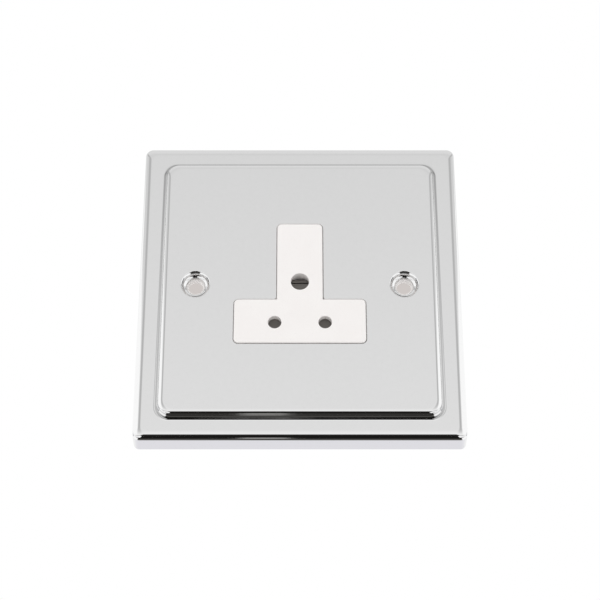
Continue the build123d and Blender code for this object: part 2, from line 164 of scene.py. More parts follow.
# How much of the rise is taken from the end turns, which lie closer than the middle ones
END_TURNS_CLOSED = 0.1

# The studs welded behind the panel: their z, the M3.5 thread, and the (root's, tip's) height
STUDS = {"plate_stud_top": 28.5, "plate_stud_bottom": -29.0}
STUD_RADIUS = 1.7
STUD_PITCH = 0.6
STUD_ENDS = (9.2, 2.2)
THREAD_DEPTH = 0.32
# The height at which the thread begins, and the length over which it reaches its depth
THREAD_START = 8.4
THREAD_RUN_IN = 0.6
STUD_CHAMFER = 0.4

# How finely the curves are drawn: points in a rounded corner or fillet, and degrees between arc points
CORNER_STEPS = 12
FILLET_STEPS = 6
CIRCLE_STEPS = 56
PEG_STEPS = 20
GUIDE_STEPS = 12
COIL_STEPS = 24
WIRE_STEPS = 8
STUD_STEPS = 24
THREAD_ROWS = 84
ARC_STEP = math.radians(5)
# Points nearer than this, in metres, become one
WELD = 1e-7
SHARP_EDGE = math.radians(32)

# The direction in which the camera looks, 25 degrees upwards
VIEW_DIRECTION = Vector((0.0, 0.9051, 0.4252))

# The light tent's tones by angle, in degrees round the X axis, as the chrome shows them
TENT_STRENGTH = 1.25
TENT_TONES = [
    (-180, "#ececec"),
    (-150, "#dcdcdc"),
    (-56, "#dadada"),
    (-43, "#d0d0d0"),
    (-32, "#d6d6d6"),
    (-21, "#dedede"),
    (-8, "#e6e6e6"),
    (7, "#efefef"),
    (11, "#302f2e"),
    (20, "#171615"),
    (60, "#201f1e"),
    (92, "#504f4d"),
    (130, "#5c5b59"),
    (141, "#e8e8ea"),
    (151, "#dad9df"),
    (175, "#e6e6e8"),
]
# Its other surfaces, by the parts of a ray's direction, or by an angle where it is given in radians.
# A pair says where a fade starts and ends. The seam of roof and sides comes first
SEAM_TONE = "#b4b4b4"
SEAM_LEAN = 0.887
SEAM_FOOT = 0.046
SEAM_NEAREST = 0.34
SEAM_WIDTH = (0.16, 0.04)
SEAM_RISE = (-0.1, 0.34)
SEAM_OUT = (0.0, 0.3)
# White sides, which lean further out high up
SIDE_TONE = "#fafafa"
SIDE_EDGE = (0.08, 0.2)
SIDE_LEAN_FROM = 0.38
SIDE_LEAN = 2.2
# The grey table below the sides
TABLE_TONE = "#b2b2b4"
TABLE_DROP = (0.0, -0.2)
TABLE_OUT = (0.42, 0.6)
# The grey screen straight out to either side, darker below its horizon
SCREEN_TONE = "#d2d2d4"
SCREEN_FOOT_TONE = "#a4a4a8"
SCREEN_HORIZON = (0.03, -0.06)
SCREEN_ASIDE = (0.955, 0.975)
# The white flaps over the dark opening
FLAP_TONE = "#f4f4f4"
FLAP_ANGLE = math.radians(21)
FLAP_ASIDE = (0.085, 0.3)
FLAP_HEIGHT = math.radians(11)
FLAP_SOFTNESS = math.radians(2)
# The thin light slot in the dark opening
SLOT_TONE = "#adacaa"
SLOT_ANGLE = math.radians(48)
SLOT_LENGTH = (math.radians(20), math.radians(6))
SLOT_ASIDE = 0.024
SLOT_WIDTH = (0.02, 0.012)
# The shade that the camera sees behind the object, in a soft-edged cone; beyond it all is white
BACKDROP_TONE = "#cec8c5"
BACKDROP_CONE = (math.cos(math.radians(5.4)), math.cos(math.radians(4.7)))


def linear(hex_colour):
    """An sRGB hex colour as the linear colour that Blender's sockets take."""
    channels = [int(hex_colour[i : i + 2], 16) / 255 for i in (1, 3, 5)]
    return [*(c / 12.92 if c <= 0.04045 else ((c + 0.055) / 1.055) ** 2.4 for c in channels), 1.0]


def per_mm(size):
    """The texture scale at which a pattern repeats about once in a real size in millimetres."""
    return 1 / (size * MM)


def add_node(tree, kind, inputs=(), **settings):
    """Add a node, set its properties, and set or link its input sockets by name or number."""
    made = tree.nodes.new(kind)
    for name, value in settings.items():
        setattr(made, name, value)
    for key, value in dict(inputs).items():
        if isinstance(value, bpy.types.NodeSocket):
            tree.links.new(value, made.inputs[key])
        else:
            made.inputs[key].default_value = value
    return made


def new_material(name):
    """An empty node material with its tree and its object-space coordinates."""
    material = bpy.data.materials.new(name)
    material.use_nodes = True
    tree = material.node_tree
    tree.nodes.clear()
    coords = add_node(tree, "ShaderNodeTexCoord")
    return material, tree, coords


def chrome_on_pressed_steel():
    """Bright chrome over polished steel sheet: a clear mirror in front, dull unpolished plating behind."""
    material, tree, coords = new_material("chrome plate on pressed steel")
    place = coords.outputs["Object"]
    # Pressing leaves the sheet very slightly wavy, which makes mirrored edges swim a little.
    waves = add_node(tree, "ShaderNodeTexNoise", {"Vector": place, "Scale": per_mm(14), "Detail": 1})
    # Buffing haze, drawn coarser than the real one so that it still shows.
    haze = add_node(tree, "ShaderNodeTexNoise", {"Vector": place, "Scale": per_mm(1.2), "Detail": 4})
    # Faces that look towards the wall are the plate's back, and there nobody polishes it.
    facing = add_node(tree, "ShaderNodeSeparateXYZ", {0: coords.outputs["Normal"]})
    inside = add_node(
        tree, "ShaderNodeMath", {0: facing.outputs["Y"], 1: FACES_WALL}, operation="GREATER_THAN"
    )
    # The inner corner at the foot of the step is drawn darker grey and rougher.
    axes = add_node(tree, "ShaderNodeSeparateXYZ", {0: place})
    across = add_node(tree, "ShaderNodeMath", {0: axes.outputs["X"]}, operation="ABSOLUTE")
    along = add_node(tree, "ShaderNodeMath", {0: axes.outputs["Z"]}, operation="ABSOLUTE")
    out = add_node(tree, "ShaderNodeMath", {0: across.outputs[0], 1: along.outputs[0]}, operation="MAXIMUM")
    beyond = add_node(
        tree, "ShaderNodeMath", {0: out.outputs[0], 1: PANEL_FLAT * MM}, operation="GREATER_THAN"
    )
    above = add_node(
        tree,
        "ShaderNodeMapRange",
        {
            "Value": axes.outputs["Y"],
            "From Min": -FOOT_DULL_FROM[0] * MM,
            "From Max": -FOOT_DULL_FROM[1] * MM,
        },
        interpolation_type="SMOOTHSTEP",
    )
    sunk = add_node(
        tree,
        "ShaderNodeMapRange",
        {
            "Value": axes.outputs["Y"],
            "From Min": -FOOT_DULL_UP_TO[1] * MM,
            "From Max": -FOOT_DULL_UP_TO[0] * MM,
        },
        interpolation_type="SMOOTHSTEP",
    )
    foot = add_node(
        tree, "ShaderNodeMath", {0: above.outputs[0], 1: sunk.outputs[0]}, operation="MULTIPLY"
    )
    corner = add_node(
        tree, "ShaderNodeMath", {0: foot.outputs[0], 1: beyond.outputs[0]}, operation="MULTIPLY"
    )
    bright = add_node(
        tree,
        "ShaderNodeMix",
        {"Factor": haze.outputs["Fac"], "A": linear("#e6e6e6"), "B": linear("#e3e3e3")},
        data_type="RGBA",
    )
    # The colour turns darker grey in the inner corner at the step's foot
    darker_foot = add_node(
        tree,
        "ShaderNodeMix",
        {"Factor": corner.outputs[0], "A": bright.outputs["Result"], "B": linear("#adadad")},
        data_type="RGBA",
    )
    colour = add_node(
        tree,
        "ShaderNodeMix",
        {"Factor": inside.outputs[0], "A": darker_foot.outputs["Result"], "B": linear("#c2bfba")},
        data_type="RGBA",
    )
    polished = add_node(
        tree, "ShaderNodeMapRange", {"Value": haze.outputs["Fac"], "To Min": 0.03, "To Max": 0.055}
    )
    smears = add_node(tree, "ShaderNodeTexNoise", {"Vector": place, "Scale": per_mm(16), "Detail": 2})
    dulled = add_node(
        tree,
        "ShaderNodeMapRange",
        {"Value": smears.outputs["Fac"], "From Min": 0.35, "From Max": 0.65, "To Min": 0.08, "To Max": 0.2},
    )
    # The same corner is also rougher
    rougher_foot = add_node(
        tree,
        "ShaderNodeMix",
        {"Factor": corner.outputs[0], "A": polished.outputs[0], "B": dulled.outputs[0]},
    )
    roughness = add_node(
        tree,
        "ShaderNodeMix",
        {"Factor": inside.outputs[0], "A": rougher_foot.outputs["Result"], "B": 0.36},
    )
    bump = add_node(
        tree,
        "ShaderNodeBump",
        {"Height": waves.outputs["Fac"], "Strength": 0.2, "Distance": 0.012 * MM},
    )
    shader = add_node(
        tree,
        "ShaderNodeBsdfPrincipled",
        {
            "Base Color": colour.outputs["Result"],
            "Metallic": 1.0,
            "Roughness": roughness.outputs["Result"],
            "Normal": bump.outputs["Normal"],
        },
    )
    add_node(tree, "ShaderNodeOutputMaterial", {"Surface": shader.outputs[0]})
    return material


def moulded(name, hexes, roughness, grain, grain_depth, blotch):
    """A moulded plastic: two near colours in soft blotches, and the mould's fine grain in the gloss."""
    material, tree, coords = new_material(name)
    place = coords.outputs["Object"]
    flow = add_node(tree, "ShaderNodeTexNoise", {"Vector": place, "Scale": per_mm(blotch), "Detail": 2})
    fine = add_node(tree, "ShaderNodeTexNoise", {"Vector": place, "Scale": per_mm(grain), "Detail": 3})
    colour = add_node(
        tree,
        "ShaderNodeMix",
        {"Factor": flow.outputs["Fac"], "A": linear(hexes[0]), "B": linear(hexes[1])},
        data_type="RGBA",
    )
    gloss = add_node(
        tree,
        "ShaderNodeMapRange",
        {"Value": fine.outputs["Fac"], "To Min": roughness[0], "To Max": roughness[1]},
    )
    bump = add_node(
        tree,
        "ShaderNodeBump",
        {"Height": fine.outputs["Fac"], "Strength": 0.4, "Distance": grain_depth * MM},
    )
    shader = add_node(
        tree,
        "ShaderNodeBsdfPrincipled",
        {
            "Base Color": colour.outputs["Result"],
            "Roughness": gloss.outputs[0],
            "IOR": 1.55,
            "Normal": bump.outputs["Normal"],
        },
    )
    add_node(tree, "ShaderNodeOutputMaterial", {"Surface": shader.outputs[0]})
    return material


def urea_moulding():
    """Urea moulding powder pressed in a polished tool: an opaque warm white with a satin gloss."""
    return moulded("urea moulding", ("#f8f5f3", "#f4f0ee"), (0.24, 0.34), 0.3, 0.006, 7)


def ivory_urea_base():
    """The same powder in a plainer tool: a little greyer, duller, with a coarser grain."""
    return moulded("ivory urea base", ("#e9e7e1", "#dfdcd5"), (0.36, 0.5), 0.45, 0.012, 9)


def grey_nylon():
    """Moulded nylon for the sliding shutter: matt dark grey with a dry, waxy surface."""
    return moulded("grey nylon", ("#68645f", "#5c5854"), (0.45, 0.6), 0.25, 0.01, 2.5)


def drawn_metal(name, hexes, roughness, line, run, stain):
    """A worked metal: tool lines across one axis, and slow stains in its colour and gloss."""
    material, tree, coords = new_material(name)
    place = coords.outputs["Object"]
    stretch = add_node(
        tree,
        "ShaderNodeMapping",
        {"Vector": place, "Scale": (per_mm(line), per_mm(run), per_mm(line))},
    )
    lines = add_node(tree, "ShaderNodeTexNoise", {"Vector": stretch.outputs[0], "Scale": 1.0, "Detail": 3})
    cloud = add_node(tree, "ShaderNodeTexNoise", {"Vector": place, "Scale": per_mm(stain), "Detail": 4})
    colour = add_node(
        tree,
        "ShaderNodeMix",
        {"Factor": cloud.outputs["Fac"], "A": linear(hexes[0]), "B": linear(hexes[1])},
        data_type="RGBA",
    )
    gloss = add_node(
        tree,
        "ShaderNodeMapRange",
        {"Value": lines.outputs["Fac"], "To Min": roughness[0], "To Max": roughness[1]},
    )
    bump = add_node(
        tree,
        "ShaderNodeBump",
        {"Height": lines.outputs["Fac"], "Strength": 0.5, "Distance": 0.01 * MM},
    )
    shader = add_node(
        tree,
        "ShaderNodeBsdfPrincipled",
        {
            "Base Color": colour.outputs["Result"],
            "Metallic": 1.0,
            "Roughness": gloss.outputs[0],
            "Normal": bump.outputs["Normal"],
        },
    )
    add_node(tree, "ShaderNodeOutputMaterial", {"Surface": shader.outputs[0]})
    return material


def stamped_brass():
    """Stamped and drawn brass: warm yellow, darker where handled, with fine lines along the draw."""
    return drawn_metal("stamped brass", ("#e0bd72", "#c79a4e"), (0.2, 0.38), 0.12, 3.0, 3.5)


def bright_zinc_on_steel():
    """Zinc plating with a clear passivation: a cool, slightly cloudy grey."""
    return drawn_metal("bright zinc on steel", ("#d3d7da", "#bcc0c4"), (0.26, 0.42), 0.2, 0.9, 1.8)


def spring_steel():
    """Hard drawn spring wire and strip: dark bright steel with lines along its length."""
    return drawn_metal("hard drawn spring steel", ("#9b9ea3", "#83868b"), (0.22, 0.36), 0.08, 1.5, 2.0)


FINISHES = {
    "chrome_plate": chrome_on_pressed_steel(),
    "white_urea": urea_moulding(),
    "white_base": ivory_urea_base(),
    "grey_shutter": grey_nylon(),
    "brass": stamped_brass(),
    "spring_steel": spring_steel(),
    "zinc_steel": bright_zinc_on_steel(),
}

# Each CAD node takes the finish of its slot in the record
for row in frame["record"]["subparts"]:
    node = frame["nodes"][row["node"]]
    if not node.material_slots:
        node.data.materials.append(None)
    for holder in node.material_slots:
        holder.link = "OBJECT"
        holder.material = FINISHES[row["material_slot"]]


def arc_leg(points, radius, slope_from, slope_to):
    """Carry a profile on along an arc between two slopes below the panel's plane, in degrees."""
    start = Vector(points[-1])
    first, last = math.radians(slope_from), math.radians(slope_to)
    count = max(2, round(abs(last - first) / ARC_STEP))
    bend = 1 if last > first else -1
    for i in range(1, count + 1):
        slope = first + (last - first) * i / count
        ds = bend * radius * (math.sin(slope) - math.sin(first))
        dh = bend * radius * (math.cos(slope) - math.cos(first))
        points.append((start[0] + ds, start[1] + dh))


def line_leg(points, slope, drop):
    """Carry a profile straight on at a slope, down by a drop."""
    s, h = points[-1]
    points.append((s + drop / math.tan(math.radians(slope)), h - drop))


def pressed_profile(inner):
    """The sheet's outer or inner profile from the flat panel out over the step and rim to the skirt."""
    face = 1 if inner else 0
    height = PLATE_HEIGHT - PLATE_SHEET * face
    rim = RIM_HEIGHT - PLATE_SHEET * face
    foot = STEP_FOOT_RADII[face]
    points = [(PANEL_FLAT, height)]
    arc_leg(points, PANEL_CROWN_RADII[face], 0, CROWN_SLOPE)
    arc_leg(points, STEP_EDGE_RADII[face], CROWN_SLOPE, STEP_SLOPE)
    foot_rise = foot * (1 - math.cos(math.radians(STEP_SLOPE)))
    line_leg(points, STEP_SLOPE, points[-1][1] - rim - foot_rise)
    arc_leg(points, foot, STEP_SLOPE, 0)
    points.append((RIM_FLAT, rim))
    arc_leg(points, RIM_CROWN_RADII[face], 0, CROWN_SLOPE)
    arc_leg(points, SHOULDER_RADII[face], CROWN_SLOPE, SKIRT_SLOPE)
    return points


def between(s, ends):
    """A value that runs straight between two (s, value) ends and stays level beyond them."""
    (s0, v0), (s1, v1) = ends
    part = min(1, max(0, (s - s0) / (s1 - s0)))
    return v0 + (v1 - v0) * part


def rounded_square(half, corner, narrower=0.0):
    """The outline of a square with rounded corners, as points round it."""
    points = []
    half_x = half - narrower
    for quarter in range(4):
        turn = math.pi / 2 * quarter
        for i in range(CORNER_STEPS + 1):
            angle = turn + math.pi / 2 * i / CORNER_STEPS
            x = (half_x - corner) * (1 if quarter in (0, 3) else -1) + corner * math.cos(angle)
            z = (half - corner) * (1 if quarter in (0, 1) else -1) + corner * math.sin(angle)
            points.append((x, z))
    return points


def filleted(corners):
    """An outline with its corners rounded: each corner is (x, z, radius)."""
    points = []
    count = len(corners)
    for i, (x, z, radius) in enumerate(corners):
        here = Vector((x, z))
        back = (Vector(corners[i - 1][:2]) - here).normalized()
        on = (Vector(corners[(i + 1) % count][:2]) - here).normalized()
        first, last = here + back * radius, here + on * radius
        centre = here + (back + on) * radius
        sweep = (last - centre).angle_signed(first - centre)
        for k in range(FILLET_STEPS + 1):
            angle = sweep * k / FILLET_STEPS
            arm = first - centre
            turned = Vector(
                (
                    arm.x * math.cos(angle) - arm.y * math.sin(angle),
                    arm.x * math.sin(angle) + arm.y * math.cos(angle),
                )
            )
            points.append(tuple(centre + turned))
    return points


def tee_outline(grow):
    """The plate's opening for the white insert: an inverted T, grown all round."""
    stem, bar = TEE_STEM_HALF + grow, TEE_BAR_HALF + grow
    top, shelf, bottom = TEE_TOP + grow, TEE_SHELF + grow, TEE_BOTTOM - grow
    outer, inner = TEE_OUTER_RADIUS + grow, TEE_INNER_RADIUS - grow
    return filleted(
        [
            (stem, top, outer),
            (-stem, top, outer),
            (-stem, shelf, inner),
            (-bar, shelf, outer),
            (-bar, bottom, outer),
            (bar, bottom, outer),
            (bar, shelf, outer),
            (stem, shelf, inner),
        ]
    )


def circle_outline(x, z, radius, steps=CIRCLE_STEPS):
    """A circle as points round its middle."""
    return [
        (
            x + radius * math.cos(2 * math.pi * i / steps),
            z + radius * math.sin(2 * math.pi * i / steps),
        )
        for i in range(steps)
    ]


def add_ring(mesh, outline, height):
    """A closed ring of vertices at a height in front of the wall."""
    return [mesh.verts.new((x * MM, -height * MM, z * MM)) for x, z in outline]


def bridge(mesh, rings):
    """Quads between each ring and the next, which have the same number of points."""
    for one, two in zip(rings, rings[1:]):
        for i in range(len(one)):
            j = (i + 1) % len(one)
            mesh.faces.new((one[i], one[j], two[j], two[i]))


def fill_flat(mesh, loops):
    """A flat face between an outer loop and the loops of its holes."""
    edges = []
    for loop in loops:
        for i, vertex in enumerate(loop):
            follower = loop[(i + 1) % len(loop)]
            edges.append(mesh.edges.get((vertex, follower)) or mesh.edges.new((vertex, follower)))
    bmesh.ops.triangle_fill(mesh, use_beauty=True, use_dissolve=False, edges=edges)


def finish_piece(name, mesh, slot, body):
    """Turn built geometry into a smooth-shaded piece in its slot's finish, which rides on a body."""
    bmesh.ops.remove_doubles(mesh, verts=mesh.verts, dist=WELD)
    bmesh.ops.recalc_face_normals(mesh, faces=mesh.faces)
    data = bpy.data.meshes.new(name)
    mesh.to_mesh(data)
    mesh.free()
    data.shade_smooth()
    data.set_sharp_from_angle(angle=SHARP_EDGE)
    piece = bpy.data.objects.new(name, data)
    bpy.context.scene.collection.objects.link(piece)
    data.materials.append(FINISHES[slot])
    even = piece.modifiers.new("flat faces stay flat", "WEIGHTED_NORMAL")
    even.keep_sharp = True
    even.weight = 90
    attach(piece, body)
    return piece


def pressed_plate():
    """The front plate: rolled rim, soft step, dished fixing holes and the opening for the insert."""
    mesh = bmesh.new()
    sides = []
    for inner in (False, True):
        sheet = PLATE_SHEET if inner else 0
        rings = []
        for s, h in pressed_profile(inner):
            on_step = s < STEP_END
            corner = between(s, STEP_CORNERS if on_step else RIM_CORNERS) - sheet / 2
            narrower = STEP_NARROWER if on_step else 0
            rings.append(add_ring(mesh, rounded_square(s, corner, narrower), h))
        foot = PLATE_HALF - sheet
        lip = foot + (SKIRT_LIP if inner else -SKIRT_LIP)
        for half, h in ((foot, SKIRT_LIP), (lip, 0.0)):
            rings.append(add_ring(mesh, rounded_square(half, SKIRT_CORNER - sheet), h))
        bridge(mesh, rings)
        sides.append(rings)
    bridge(mesh, [sides[0][-1], sides[1][-1]])
    # The punch leaves a narrow slope along the opening's front edge
    opening = [
        add_ring(mesh, tee_outline(TEE_GAP + TEE_EDGE), PLATE_HEIGHT),
        add_ring(mesh, tee_outline(TEE_GAP), PLATE_HEIGHT - TEE_EDGE),
        add_ring(mesh, tee_outline(TEE_GAP), PLATE_HEIGHT - PLATE_SHEET),
    ]
    bridge(mesh, opening)
    front_loops, back_loops = [sides[0][0], opening[0]], [sides[1][0], opening[-1]]
    for x in (-FIXING_HOLE_SIDE, FIXING_HOLE_SIDE):
        dish = [add_ring(mesh, circle_outline(x, 0, r), PLATE_HEIGHT - d) for r, d in DISH]
        bridge(mesh, dish)
        front_loops.append(dish[0])
        back_loops.append(dish[-1])
    fill_flat(mesh, front_loops)
    fill_flat(mesh, back_loops)
    plate = finish_piece("pressed_plate", mesh, "chrome_plate", "socket")
    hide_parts("front_plate")


def sliding_shutter():
    """The grey slider: a bar behind the two small holes, and a stem with a slit behind the large one."""
    mesh = bmesh.new()

    def corner(x, z, height):
        return mesh.verts.new((x * MM, -height * MM, z * MM))

    left, right = ([corner(side * STEM_HALF, z, h) for z, h in STEM_SIDE] for side in (-1, 1))
    for i in range(len(left) - 1):
        mesh.faces.new((left[i], right[i], right[i + 1], left[i + 1]))
    mesh.faces.new(left)
    mesh.faces.new(right)
    # The bar's outline in front and behind, open in the middle, where the stem grows out of it
    (shelf, front), (_, back) = STEM_SIDE[0], STEM_SIDE[-1]
    bar = []
    for end, height in ((0, front), (-1, back)):
        bar.append(
            [
                left[end],
                corner(-BAR_HALF, shelf, height),
                corner(-BAR_HALF, BAR_LOW, height),
                corner(BAR_HALF, BAR_LOW, height),
                corner(BAR_HALF, shelf, height),
                right[end],
            ]
        )
    for i in range(len(bar[0]) - 1):
        mesh.faces.new((bar[0][i], bar[0][i + 1], bar[1][i + 1], bar[1][i]))
    mesh.faces.new(bar[0])
    mesh.faces.new(bar[1])
    middle = (front + back) / 2
    tip = BAR_LOW - PEG_LENGTH
    peg = []
    for z, shrink in ((BAR_LOW + PEG_SUNK, 1), (tip + PEG_TIP, 1), (tip, PEG_TIP_SHRINK)):
        outline = circle_outline(0, middle, PEG_RADIUS * shrink, PEG_STEPS)
        peg.append([corner(x, z, height) for x, height in outline])
    bridge(mesh, peg)
    mesh.faces.new(peg[0])
    mesh.faces.new(peg[-1])
    shutter = finish_piece("sliding_shutter", mesh, "grey_shutter", "shutter")
    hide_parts("shutter")


def pin_guide():
    """The moulding's half-round rib over the shutter's stem, which leads the earth pin in."""
    mesh = bmesh.new()
    start = math.asin((GUIDE_LOW - EARTH_PIN_Z) / GUIDE_RADIUS)
    outline = [
        (GUIDE_HALF, GUIDE_LOW),
        (GUIDE_HALF, GUIDE_HIGH),
        (-GUIDE_HALF, GUIDE_HIGH),
        (-GUIDE_HALF, GUIDE_LOW),
    ]
    for i in range(GUIDE_STEPS + 1):
        angle = math.pi - start - (math.pi - 2 * start) * i / GUIDE_STEPS
        reach = GUIDE_RADIUS * math.cos(angle)
        outline.append((reach, EARTH_PIN_Z + GUIDE_RADIUS * math.sin(angle)))
    ends = [add_ring(mesh, outline, height) for height in (GUIDE_FRONT, GUIDE_BACK)]
    bridge(mesh, ends)
    for end in ends:
        mesh.faces.new(end)
    finish_piece("earth_pin_guide", mesh, "white_urea", "socket")


def return_spring():
    """A coil of drawn wire whose end turns close up."""
    mesh = bmesh.new()
    rings = []
    for i in range(SPRING_TURNS * COIL_STEPS + 1):
        part = i / (SPRING_TURNS * COIL_STEPS)
        turn = 2 * math.pi * SPRING_TURNS * part
        rise = part - END_TURNS_CLOSED * math.sin(2 * math.pi * part)
        middle = SPRING_LOW + (SPRING_HIGH - SPRING_LOW) * rise
        ring = []
        for k in range(WIRE_STEPS):
            angle = 2 * math.pi * k / WIRE_STEPS
            reach = COIL_RADIUS + WIRE_RADIUS * math.cos(angle)
            x, depth = reach * math.cos(turn), SPRING_DEPTH + reach * math.sin(turn)
            z = middle + WIRE_RADIUS * math.sin(angle)
            ring.append(mesh.verts.new((x * MM, -depth * MM, z * MM)))
        rings.append(ring)
    bridge(mesh, rings)
    mesh.faces.new(rings[0])
    mesh.faces.new(rings[-1])
    spring = finish_piece("return_spring", mesh, "spring_steel", "socket")
    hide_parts("shutter_spring")
    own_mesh(spring)


def threaded_stud(name, z):
    """A weld stud: plain at its root, then a rolled thread to a chamfered tip."""
    mesh = bmesh.new()
    root, tip = STUD_ENDS
    rings = []
    for row in range(THREAD_ROWS + 1):
        height = root + (tip - root) * row / THREAD_ROWS
        depth = THREAD_DEPTH * min(1, max(0, (THREAD_START - height) / THREAD_RUN_IN))
        ring = []
        for k in range(STUD_STEPS):
            phase = (height / STUD_PITCH + k / STUD_STEPS) % 1
            groove = depth * (1 - abs(2 * phase - 1))
            radius = min(STUD_RADIUS - groove, STUD_RADIUS - STUD_CHAMFER + height - tip)
            angle = 2 * math.pi * k / STUD_STEPS
            ring.append((radius * math.cos(angle), z + radius * math.sin(angle)))
        rings.append(add_ring(mesh, ring, height))
    bridge(mesh, rings)
    mesh.faces.new(rings[0])
    mesh.faces.new(rings[-1])
    stud = finish_piece(f"threaded_{name}", mesh, "zinc_steel", "socket")
    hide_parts(name)


def tent_roof(tree, turn):
    """The tent from the ceiling, through the dark opening for the camera, to the table behind."""
    round_turn = add_node(
        tree, "ShaderNodeMapRange", {"Value": turn, "From Min": -math.pi, "From Max": math.pi}
    )
    tent = add_node(tree, "ShaderNodeValToRGB", {"Fac": round_turn.outputs[0]})
    stops = tent.color_ramp.elements
    while len(stops) > 1:
        stops.remove(stops[-1])
    for index, (degrees, tone) in enumerate(TENT_TONES):
        place = (degrees + 180) / 360
        stop = stops[0] if index == 0 else stops.new(place)
        stop.position = place
        stop.color = linear(tone)
    return tent.outputs["Color"]


def tent_sides(tree, rise, out, aside):
    """White sides with the grey table below them, and a grey screen straight out to either side."""
    low = add_node(
        tree,
        "ShaderNodeMapRange",
        {"Value": rise, "From Min": TABLE_DROP[0], "From Max": TABLE_DROP[1]},
        interpolation_type="SMOOTHSTEP",
    )
    forward = add_node(
        tree,
        "ShaderNodeMapRange",
        {"Value": out, "From Min": TABLE_OUT[0], "From Max": TABLE_OUT[1]},
        interpolation_type="SMOOTHSTEP",
    )
    table = add_node(
        tree, "ShaderNodeMath", {0: low.outputs[0], 1: forward.outputs[0]}, operation="MULTIPLY"
    )
    sides = add_node(
        tree,
        "ShaderNodeMix",
        {"Factor": table.outputs[0], "A": linear(SIDE_TONE), "B": linear(TABLE_TONE)},
        data_type="RGBA",
    )
    under = add_node(
        tree,
        "ShaderNodeMapRange",
        {"Value": rise, "From Min": SCREEN_HORIZON[0], "From Max": SCREEN_HORIZON[1]},
        interpolation_type="SMOOTHSTEP",
    )
    screen = add_node(
        tree,
        "ShaderNodeMix",
        {"Factor": under.outputs[0], "A": linear(SCREEN_TONE), "B": linear(SCREEN_FOOT_TONE)},
        data_type="RGBA",
    )
    far = add_node(
        tree,
        "ShaderNodeMapRange",
        {"Value": aside, "From Min": SCREEN_ASIDE[0], "From Max": SCREEN_ASIDE[1]},
        interpolation_type="SMOOTHSTEP",
    )
    both = add_node(
        tree,
        "ShaderNodeMix",
        {"Factor": far.outputs[0], "A": sides.outputs["Result"], "B": screen.outputs["Result"]},
        data_type="RGBA",
    )
    return both.outputs["Result"]


def roof_and_sides(tree, turn, rise, out, aside):
    """Roof and sides joined along their seam, which leans outwards with height."""
    lean = add_node(
        tree, "ShaderNodeMath", {0: rise, 1: SEAM_LEAN, 2: SEAM_FOOT}, operation="MULTIPLY_ADD"
    )
    edge = add_node(
        tree, "ShaderNodeMath", {0: lean.outputs[0], 1: SEAM_NEAREST}, operation="MAXIMUM"
    )
    off_seam = add_node(tree, "ShaderNodeMath", {0: aside, 1: edge.outputs[0]}, operation="SUBTRACT")
    # High up, the sides begin further out than the seam
    over = add_node(tree, "ShaderNodeMath", {0: rise, 1: SIDE_LEAN_FROM}, operation="SUBTRACT")
    over_only = add_node(tree, "ShaderNodeMath", {0: over.outputs[0], 1: 0.0}, operation="MAXIMUM")
    outward = add_node(
        tree, "ShaderNodeMath", {0: over_only.outputs[0], 1: SIDE_LEAN}, operation="MULTIPLY"
    )
    past = add_node(
        tree, "ShaderNodeMath", {0: off_seam.outputs[0], 1: outward.outputs[0]}, operation="SUBTRACT"
    )
    beside = add_node(
        tree,
        "ShaderNodeMapRange",
        {"Value": past.outputs[0], "From Min": SIDE_EDGE[0], "From Max": SIDE_EDGE[1]},
        interpolation_type="SMOOTHSTEP",
    )
    tent = add_node(
        tree,
        "ShaderNodeMix",
        {
            "Factor": beside.outputs[0],
            "A": tent_roof(tree, turn),
            "B": tent_sides(tree, rise, out, aside),
        },
        data_type="RGBA",
    )
    # The seam itself is a soft grey line, seen only in front of the object and above its foot
    distance = add_node(tree, "ShaderNodeMath", {0: off_seam.outputs[0]}, operation="ABSOLUTE")
    close = add_node(
        tree,
        "ShaderNodeMapRange",
        {"Value": distance.outputs[0], "From Min": SEAM_WIDTH[0], "From Max": SEAM_WIDTH[1]},
        interpolation_type="SMOOTHSTEP",
    )
    high = add_node(
        tree,
        "ShaderNodeMapRange",
        {"Value": rise, "From Min": SEAM_RISE[0], "From Max": SEAM_RISE[1]},
        interpolation_type="SMOOTHSTEP",
    )
    close_and_high = add_node(
        tree, "ShaderNodeMath", {0: close.outputs[0], 1: high.outputs[0]}, operation="MULTIPLY"
    )
    in_front = add_node(
        tree,
        "ShaderNodeMapRange",
        {"Value": out, "From Min": SEAM_OUT[0], "From Max": SEAM_OUT[1]},
        interpolation_type="SMOOTHSTEP",
    )
    seam = add_node(
        tree,
        "ShaderNodeMath",
        {0: close_and_high.outputs[0], 1: in_front.outputs[0]},
        operation="MULTIPLY",
    )
    sewn = add_node(
        tree,
        "ShaderNodeMix",
        {"Factor": seam.outputs[0], "A": tent.outputs["Result"], "B": linear(SEAM_TONE)},
        data_type="RGBA",
    )
    return sewn.outputs["Result"]


def side_flaps(tree, turn, aside):
    """Where a white flap reaches in over the dark opening from either side: 1 on the flap, 0 off it."""
    reach = add_node(
        tree,
        "ShaderNodeMapRange",
        {"Value": aside, "From Min": FLAP_ASIDE[0], "From Max": FLAP_ASIDE[1], "To Max": FLAP_HEIGHT},
        interpolation_type="SMOOTHSTEP",
    )
    from_middle = add_node(tree, "ShaderNodeMath", {0: turn, 1: FLAP_ANGLE}, operation="SUBTRACT")
    off_middle = add_node(tree, "ShaderNodeMath", {0: from_middle.outputs[0]}, operation="ABSOLUTE")
    depth = add_node(
        tree, "ShaderNodeMath", {0: reach.outputs[0], 1: off_middle.outputs[0]}, operation="SUBTRACT"
    )
    flap = add_node(
        tree,
        "ShaderNodeMapRange",
        {"Value": depth.outputs[0], "From Min": 0.0, "From Max": FLAP_SOFTNESS},
        interpolation_type="SMOOTHSTEP",
    )
    return flap.outputs[0]


